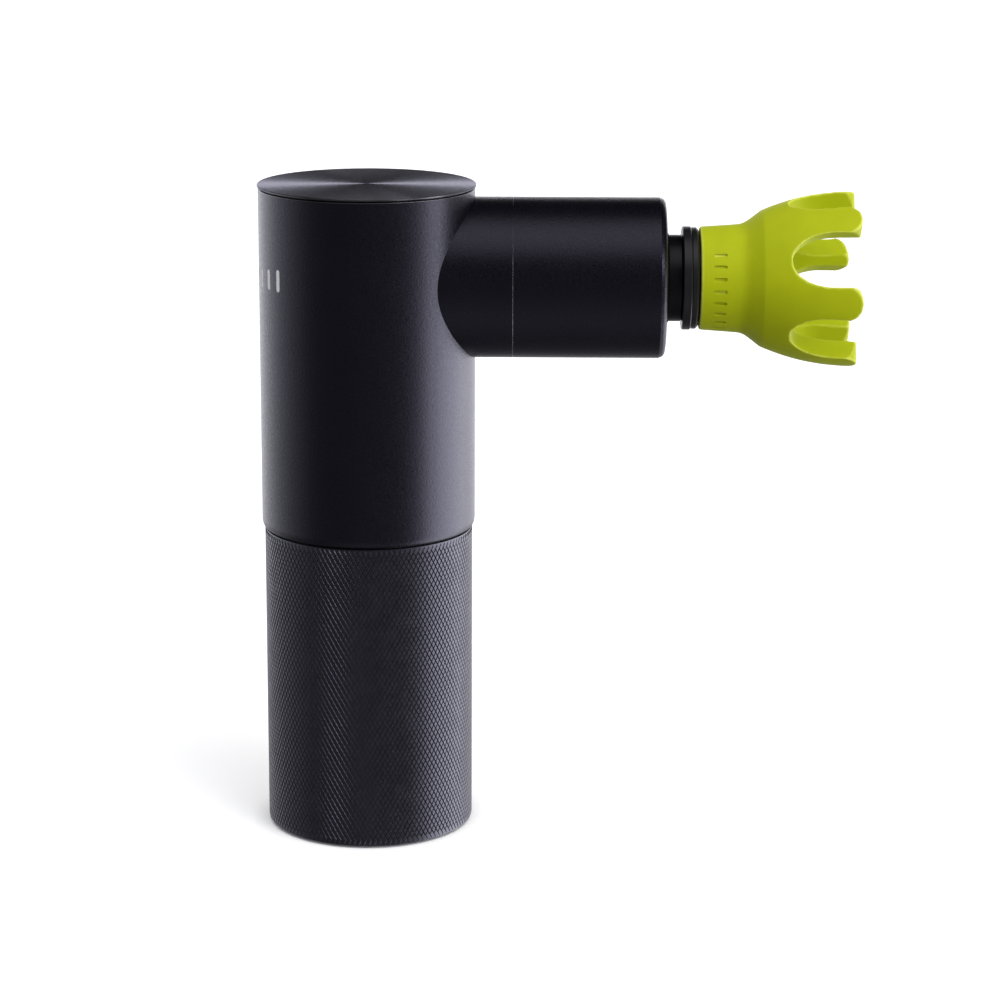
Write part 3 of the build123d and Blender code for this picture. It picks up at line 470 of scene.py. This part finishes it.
def circuit_board():
    """Solder mask over a faint pattern of tracks."""
    surface = Surface("circuit_board", (0.015, 0.11, 0.045), 0.32, Coat_Weight=0.3)
    tracks = surface.node("TexVoronoi", feature="DISTANCE_TO_EDGE")
    tracks.inputs["Scale"].default_value = 420
    surface.link(surface.place((1, 1, 0.1)), tracks.inputs["Vector"])
    ramp = surface.node("ValToRGB")
    low, high = ramp.color_ramp.elements
    low.position, high.position = 0.05, 0.09
    low.color, high.color = (0.05, 0.22, 0.08, 1), (0.015, 0.11, 0.045, 1)
    surface.link(tracks.outputs["Distance"], ramp.inputs["Fac"])
    surface.link(ramp.outputs["Color"], surface.shader.inputs["Base Color"])
    return surface


def chip_plastic():
    return Surface("chip_plastic", (0.02, 0.02, 0.021), 0.5).mottle(0.2, 900).grain(4000, 0.2, 0.00003)


def led_white():
    surface = Surface("led_white", (0.88, 0.84, 0.55), 0.25, Coat_Weight=0.5)
    return surface.mottle(0.06, 1500)


def screw_steel():
    surface = Surface("screw_steel", (0.42, 0.42, 0.43), 0.3, Metallic=1.0)
    return surface.uneven_gloss(0.1, 1200).grain(3500, 0.15, 0.00002)


def cell_wrap():
    """Shrink film, a little wrinkled round the cell."""
    surface = Surface("cell_wrap", (0.02, 0.13, 0.38), 0.28, Coat_Weight=0.4)
    return surface.mottle(0.08, 120).relief(surface.noise(260, 3.0, (1, 1, 0.25)), 0.18, 0.0002)


def nickel():
    surface = Surface("nickel", (0.66, 0.64, 0.6), 0.3, Metallic=1.0)
    return surface.uneven_gloss(0.1, 800, (1, 6, 1)).grain(2500, 0.1, 0.00002, (1, 10, 1))


def lead_insulation():
    surface = Surface("lead_insulation", (0.38, 0.02, 0.015), 0.45)
    return surface.mottle(0.1, 400).grain(2200, 0.12, 0.00004)


def cast_chassis():
    surface = Surface("cast_chassis", (0.4, 0.4, 0.41), 0.5, Metallic=1.0)
    return surface.mottle(0.15, 220).relief(surface.noise(900, 5.0), 0.4, 0.0001)


def turned_aluminium():
    surface = Surface("turned_aluminium", (0.7, 0.7, 0.71), 0.28, Metallic=1.0)
    return surface.mottle(0.06, 300).turning_rings(0.0003, 0.15)


def bearing_steel():
    surface = Surface("bearing_steel", (0.6, 0.6, 0.61), 0.16, Metallic=1.0)
    return surface.uneven_gloss(0.06, 900).grain(2600, 0.06, 0.00002, (1, 1, 8))


def lamination_steel():
    """Stacked sheet, with the edge of each lamination showing."""
    surface = Surface("lamination_steel", (0.2, 0.2, 0.21), 0.45, Metallic=1.0)
    wave = surface.node("TexWave", wave_type="BANDS", bands_direction="Z")
    wave.inputs["Scale"].default_value = 160
    surface.link(surface.place(), wave.inputs["Vector"])
    return surface.mottle(0.2, 500).relief(wave.outputs["Fac"], 0.5, 0.0001)


def copper_wire():
    """Enamelled wire, wound in close turns."""
    surface = Surface("copper_wire", (0.62, 0.24, 0.09), 0.3, Metallic=1.0, Coat_Weight=0.6)
    wave = surface.node("TexWave", wave_type="RINGS", rings_direction="SPHERICAL")
    wave.inputs["Scale"].default_value = 220
    wave.inputs["Distortion"].default_value = 1.5
    surface.link(surface.place((1, 1, 0.2)), wave.inputs["Vector"])
    return surface.mottle(0.15, 600).relief(wave.outputs["Fac"], 0.8, 0.00015)


def magnet():
    surface = Surface("magnet", (0.42, 0.42, 0.43), 0.22, Metallic=1.0)
    return surface.uneven_gloss(0.08, 700).grain(1800, 0.08, 0.00003)


def crank_steel():
    surface = Surface("crank_steel", (0.46, 0.46, 0.47), 0.3, Metallic=1.0)
    return surface.mottle(0.08, 250).turning_rings(0.0004, 0.2)


def bronze():
    surface = Surface("bronze", (0.52, 0.33, 0.13), 0.38, Metallic=1.0)
    return surface.mottle(0.2, 800).grain(2500, 0.25, 0.00004)


def black_piston():
    surface = Surface("black_piston", (0.004, 0.004, 0.005), 0.3, Specular_IOR_Level=0.3)
    return surface.uneven_gloss(0.04, 200).turning_rings(0.00025, 0.06, "X", BARREL_Z)


def bush_plastic():
    return Surface("bush_plastic", (0.72, 0.7, 0.62), 0.4).mottle(0.05, 300).grain(2000, 0.15, 0.00004)


def collar_plastic():
    surface = Surface("collar_plastic", (0.009, 0.009, 0.011), 0.33, Specular_IOR_Level=0.55)
    return surface.mottle(0.15, 300).uneven_gloss(0.05, 200).grain(3200, 0.1, 0.00003)


def green_silicone():
    """Matt green silicone: soft sheen, a little light let in, a fine moulded texture, and a painted highlight
    along its edges.
    """
    surface = Surface(
        "green_silicone",
        (0.40, 0.455, 0.006),
        0.5,
        Specular_IOR_Level=0.12,
        Subsurface_Weight=0.25,
        Subsurface_Radius=(0.6, 0.5, 0.1),
        Subsurface_Scale=0.0012,
        Sheen_Weight=0.02,
    )
    surface.mottle(0.04, 160)
    # painted highlight: a lighter green along the crown's rims, standing in for the light they catch
    surface.paint_edge_highlight((0.62, 0.66, 0.10))
    return surface.uneven_gloss(0.05, 220).grain(3600, 0.10, 0.00004)


MATERIALS = {
    make.__name__: make
    for make in (
        black_shell, spun_cap, knurled_grip, black_plastic, black_rubber, light_window, button_plastic,
        switch_metal, socket_steel, circuit_board, chip_plastic, led_white, screw_steel, cell_wrap, nickel,
        lead_insulation, cast_chassis, turned_aluminium, bearing_steel, lamination_steel, copper_wire,
        magnet, crank_steel, bronze, black_piston, bush_plastic, collar_plastic, green_silicone,
    )
}
made = {}


def material_of(slot):
    """The material of one of the record's slots, made once."""
    if slot not in made:
        made[slot] = MATERIALS[slot]().material
    return made[slot]


def paint_nodes():
    """Every CAD node takes its slot's material, and stays smooth over its curves and sharp at its edges."""
    for part in frame["record"]["subparts"]:
        mesh = nodes[part["node"]].data
        mesh.materials.clear()
        mesh.materials.append(material_of(part["material_slot"]))


# ======================================== made pieces =================================================


def add_piece(name, mesh, body, slot, replaced=None, material=None):
    """Link a finished mesh as a piece of the object."""
    piece = bpy.data.objects.new(name, mesh)
    scene.collection.objects.link(piece)
    mesh.materials.clear()
    mesh.materials.append(material or material_of(slot))
    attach(piece, body)
    if replaced:
        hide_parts(replaced)
    return piece


KNURL_ROUND = 127
KNURL_STEPS = 69  # half rows of diamonds
KNURL_DEPTH = 0.14 * MM
KNURL_FLAT = 0.7  # width of a diamond's flat top, as a share of the diamond
KNURL_PLAIN = 0.15 * MM  # smooth edge above and below the diamonds
GRIP_SHELL_GAP = 0.4 * MM
SPIGOT_STEP = 1.3 * MM  # how far the spigot stands in from the grip's surface
GRIP_WALL = 2.4 * MM


def make_knurl():
    """The grip sleeve with its diamond knurl: a lattice of truncated pyramids round the tube."""
    low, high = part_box("handle_grip")
    bottom = low[2]
    grip_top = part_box("upper_shell")[0][2] - GRIP_SHELL_GAP
    spigot_top = high[2]
    spigot_r = GRIP_R - SPIGOT_STEP
    bore_r = GRIP_R - GRIP_WALL
    root_r = GRIP_R - KNURL_DEPTH
    step = (grip_top - bottom - 2 * KNURL_PLAIN) / KNURL_STEPS
    mesh = bmesh.new()

    def vertex(radius, turn, height):
        angle = 2 * pi * turn / KNURL_ROUND
        return mesh.verts.new((radius * cos(angle), radius * sin(angle), height))

    rows = []
    for row in range(KNURL_STEPS + 1):
        height = bottom + KNURL_PLAIN + row * step
        rows.append([vertex(root_r, i + 0.5 * (row % 2), height) for i in range(KNURL_ROUND)])

    def corner(row, half_turns):
        """The groove crossing at a whole number of half pitches round the tube."""
        return rows[row][((half_turns - row % 2) // 2) % KNURL_ROUND]

    for row in range(1, KNURL_STEPS):
        height = bottom + KNURL_PLAIN + row * step
        for i in range(KNURL_ROUND):
            centre = 2 * i + 1 + row % 2
            left, right = corner(row, centre - 1), corner(row, centre + 1)
            below, above = corner(row - 1, centre), corner(row + 1, centre)
            turn = centre / 2
            inset = KNURL_FLAT / 2
            flat = [
                vertex(GRIP_R, turn - inset, height),
                vertex(GRIP_R, turn, height - 2 * inset * step),
                vertex(GRIP_R, turn + inset, height),
                vertex(GRIP_R, turn, height + 2 * inset * step),
            ]
            ring = [left, below, right, above]
            mesh.faces.new(flat)
            for k in range(4):
                mesh.faces.new((ring[k], ring[(k + 1) % 4], flat[(k + 1) % 4], flat[k]))
    last = KNURL_STEPS
    for i in range(KNURL_ROUND):
        centre = 2 * i + 1
        mesh.faces.new((corner(0, centre - 1), corner(0, centre + 1), corner(1, centre)))
        centre += last % 2
        mesh.faces.new((corner(last, centre + 1), corner(last, centre - 1), corner(last - 1, centre)))

    def ring_of(radius, height, start=0.0):
        return [vertex(radius, i + start, height) for i in range(KNURL_ROUND)]

    def join(first, second):
        for i in range(KNURL_ROUND):
            j = (i + 1) % KNURL_ROUND
            mesh.faces.new((first[i], first[j], second[j], second[i]))

    outline = [
        rows[0],
        ring_of(root_r, bottom),
        ring_of(bore_r, bottom),
        ring_of(bore_r, spigot_top, 0.5 * (last % 2)),
        ring_of(spigot_r, spigot_top, 0.5 * (last % 2)),
        ring_of(spigot_r, grip_top, 0.5 * (last % 2)),
        ring_of(root_r, grip_top, 0.5 * (last % 2)),
        rows[-1],
    ]
    for first, second in zip(outline, outline[1:]):
        join(second, first)
    bmesh.ops.recalc_face_normals(mesh, faces=mesh.faces)
    data = bpy.data.meshes.new("knurled_sleeve")
    mesh.to_mesh(data)
    mesh.free()
    return add_piece("knurled_sleeve", data, "root", "knurled_grip", "handle_grip")


def solid_mesh(name, build):
    """A mesh filled in by build(bmesh), with its normals outward."""
    mesh = bmesh.new()
    build(mesh)
    bmesh.ops.recalc_face_normals(mesh, faces=mesh.faces)
    data = bpy.data.meshes.new(name)
    mesh.to_mesh(data)
    mesh.free()
    return data


CORNER_SHARE = 0.98  # of the bar's smaller half side, so that no side shrinks to nothing


def curved_bar(mesh, inner_r, outer_r, turn, half_angle, low, high, place, steps=6):
    """A bar bent round an axis with rounded ends; place(radius, angle, along) gives the point."""
    half_length = (high - low) / 2
    middle = (high + low) / 2
    half_width = half_angle * outer_r
    corner = min(half_width, half_length) * CORNER_SHARE
    outline = []
    for sx, sy, start in ((1, 1, 0), (-1, 1, 90), (-1, -1, 180), (1, -1, 270)):
        for k in range(steps + 1):
            a = radians(start + 90 * k / steps)
            across = sx * (half_width - corner) + corner * cos(a)
            along = sy * (half_length - corner) + corner * sin(a)
            outline.append((turn + across / outer_r, middle + along))
    layers = []
    for r in (inner_r, outer_r):
        layers.append([mesh.verts.new(place(r, angle, along)) for angle, along in outline])
    count = len(outline)
    for i in range(count):
        j = (i + 1) % count
        mesh.faces.new((layers[0][i], layers[0][j], layers[1][j], layers[1][i]))
    mesh.faces.new(layers[0][::-1])
    mesh.faces.new(layers[1])


MARK_BARS = 8
MARK_HEIGHT = 4.9 * MM
MARK_Z = 127.6 * MM
MARK_START = -141  # degrees round the shell
MARK_PITCH = 9.5
MARK_SHRINK = 0.09  # how much shorter each bar is, as a share of the first
MARK_HALF_WIDTH = 1.4  # degrees
MARK_SUNK = 0.05 * MM
MARK_PROUD = 0.02 * MM


def make_printed_marks():
    """A graduated row of printed bars on the shell's side away from the head, in place of any lettering."""

    def place(radius, angle, along):
        return (radius * cos(angle), radius * sin(angle), along)

    def build(mesh):
        for k in range(MARK_BARS):
            turn = radians(MARK_START - MARK_PITCH * k)
            height = MARK_HEIGHT * (1 - MARK_SHRINK * k)
            low = MARK_Z - MARK_HEIGHT / 2
            inner, outer = SHELL_R - MARK_SUNK, SHELL_R + MARK_PROUD
            curved_bar(mesh, inner, outer, turn, radians(MARK_HALF_WIDTH), low, low + height, place, 3)

    ink = Surface("printed_ink", (0.78, 0.78, 0.8), 0.6).mottle(0.06, 900).grain(3000, 0.1, 0.00002)
    mesh = solid_mesh("printed_marks", build)
    return add_piece("printed_marks", mesh, "root", "light_window", material=ink.material)


RING_R = 0.08 * MM  # half the ring's own thickness
RING_SUNK = 0.06 * MM
RING_STEPS = 192
RING_SIDES = 8
CAP_RING_DROP = 0.16 * MM
SEAM_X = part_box("upper_shell")[1][0]
CAP_SEAM_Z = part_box("upper_shell")[1][2] - CAP_RING_DROP


def make_seam_rings():
    """The bare metal corner left at the barrel's seam and under the lid, as two fine rings."""
    bright = Surface("bare_edge", (0.3, 0.3, 0.31), 0.32, Metallic=1.0).uneven_gloss(0.06, 900)
    barrel_r = (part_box("barrel_sleeve")[1][2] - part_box("barrel_sleeve")[0][2]) / 2
    turned = Matrix.Translation((SEAM_X, 0, BARREL_Z)) @ Matrix.Rotation(pi / 2, 4, "Y")
    level = Matrix.Translation((0, 0, CAP_SEAM_Z))
    for name, radius, pose in (("barrel_seam_ring", barrel_r, turned), ("cap_seam_ring", SHELL_R, level)):

        def build(mesh):
            rings = []
            for i in range(RING_STEPS):
                turn = 2 * pi * i / RING_STEPS
                ring = []
                for k in range(RING_SIDES):
                    reach = radius - RING_SUNK + RING_R * cos(2 * pi * k / RING_SIDES)
                    rise = RING_R * sin(2 * pi * k / RING_SIDES)
                    ring.append(mesh.verts.new(pose @ Vector((reach * cos(turn), reach * sin(turn), rise))))
                rings.append(ring)
            for here, there in zip(rings, rings[1:] + rings[:1]):
                for k in range(RING_SIDES):
                    j = (k + 1) % RING_SIDES
                    mesh.faces.new((here[k], there[k], there[j], here[j]))

        data = solid_mesh(name, build)
        for polygon in data.polygons:
            polygon.use_smooth = True
        add_piece(name, data, "root", "black_shell", material=bright.material)


VOXEL = 0.30 * MM
SMOOTHING = 5
# Averaging rounds and the heights that mask the crown's painted edge highlight.
EDGE_ROUNDS = 6
EDGE_HIGHLIGHT_STAND = (0.07 * MM, 0.16 * MM)  # how far a vertex stands out where an edge starts to show, and in full
DASHES = 9
DASH_START = 35  # degrees round the neck
DASH_PITCH = 13.5
DASH_DEPTH = 0.28 * MM
DASH_HALF_WIDTH = 1.7  # degrees
DASH_X = (76.4 * MM, 79.2 * MM)
NECK_R = 11.6 * MM
CUTTER_R = 12.6 * MM


def evaluated_mesh(piece, name):
    """The piece's mesh with its modifiers applied."""
    graph = bpy.context.evaluated_depsgraph_get()
    data = bpy.data.meshes.new_from_object(piece.evaluated_get(graph))
    data.name = name
    return data


def mark_edge_highlight(mesh, rounds, low, high):
    """Store how far each vertex stands out of its surroundings as a vertex attribute, the mask of the painted
    edge highlight.

    It is 0 at `low` and below, and 1 at `high` and above.
    """
    count = len(mesh.vertices)
    points = numpy.empty(count * 3)
    mesh.vertices.foreach_get("co", points)
    points = points.reshape(-1, 3)
    normals = numpy.empty(count * 3)
    mesh.vertices.foreach_get("normal", normals)
    ends = numpy.empty(len(mesh.edges) * 2, dtype=numpy.int32)
    mesh.edges.foreach_get("vertices", ends)
    first, second = ends.reshape(-1, 2).T
    degree = numpy.bincount(ends, minlength=count).reshape(-1, 1)
    mean = points
    for _ in range(rounds):
        total = numpy.zeros_like(mean)
        numpy.add.at(total, first, mean[second])
        numpy.add.at(total, second, mean[first])
        mean = total / numpy.maximum(degree, 1)
    out = ((points - mean) * normals.reshape(-1, 3)).sum(axis=1)
    edge_highlight = mesh.attributes.new("edge_highlight", "FLOAT", "POINT")
    edge_highlight.data.foreach_set("value", numpy.clip((out - low) / (high - low), 0, 1))


def make_crown():
    """The silicone crown: the designed solid with its edges softened, and dashes sunk in its neck."""
    mesh = bmesh.new()
    mesh.from_mesh(nodes["crown_head"].data)
    bmesh.ops.remove_doubles(mesh, verts=mesh.verts, dist=0.001 * MM)
    data = bpy.data.meshes.new("crown_source")
    mesh.to_mesh(data)
    mesh.free()
    source = bpy.data.objects.new("crown_source", data)
    scene.collection.objects.link(source)
    remesh = source.modifiers.new("remesh", "REMESH")
    remesh.mode = "VOXEL"
    remesh.voxel_size = VOXEL
    smooth = source.modifiers.new("smooth", "SMOOTH")
    smooth.factor = 0.5
    smooth.iterations = SMOOTHING
    soft = evaluated_mesh(source, "crown_soft")
    bpy.data.objects.remove(source)
    for polygon in soft.polygons:
        polygon.use_smooth = True
    # the mask of the silicone's painted edge highlight
    mark_edge_highlight(soft, EDGE_ROUNDS, *EDGE_HIGHLIGHT_STAND)

    def place(radius, angle, along):
        return (along, -radius * cos(angle), BARREL_Z + radius * sin(angle))

    def build(cutter):
        for k in range(DASHES):
            turn = radians(DASH_START - DASH_PITCH * k)
            curved_bar(cutter, NECK_R - DASH_DEPTH, CUTTER_R, turn, radians(DASH_HALF_WIDTH), *DASH_X, place)

    crown = bpy.data.objects.new("crown_body", soft)
    scene.collection.objects.link(crown)
    cutter = bpy.data.objects.new("dash_cutter", solid_mesh("dash_cutter", build))
    scene.collection.objects.link(cutter)
    cut = crown.modifiers.new("dashes", "BOOLEAN")
    cut.operation = "DIFFERENCE"
    cut.solver = "EXACT"
    cut.object = cutter
    final = evaluated_mesh(crown, "crown_silicone")
    bpy.data.objects.remove(crown)
    bpy.data.objects.remove(cutter)
    return add_piece("crown_silicone", final, "head", "green_silicone", "crown_head")


make_camera()
make_studio()
set_colour_management()
paint_nodes()
make_knurl()
make_printed_marks()
make_seam_rings()
make_crown()
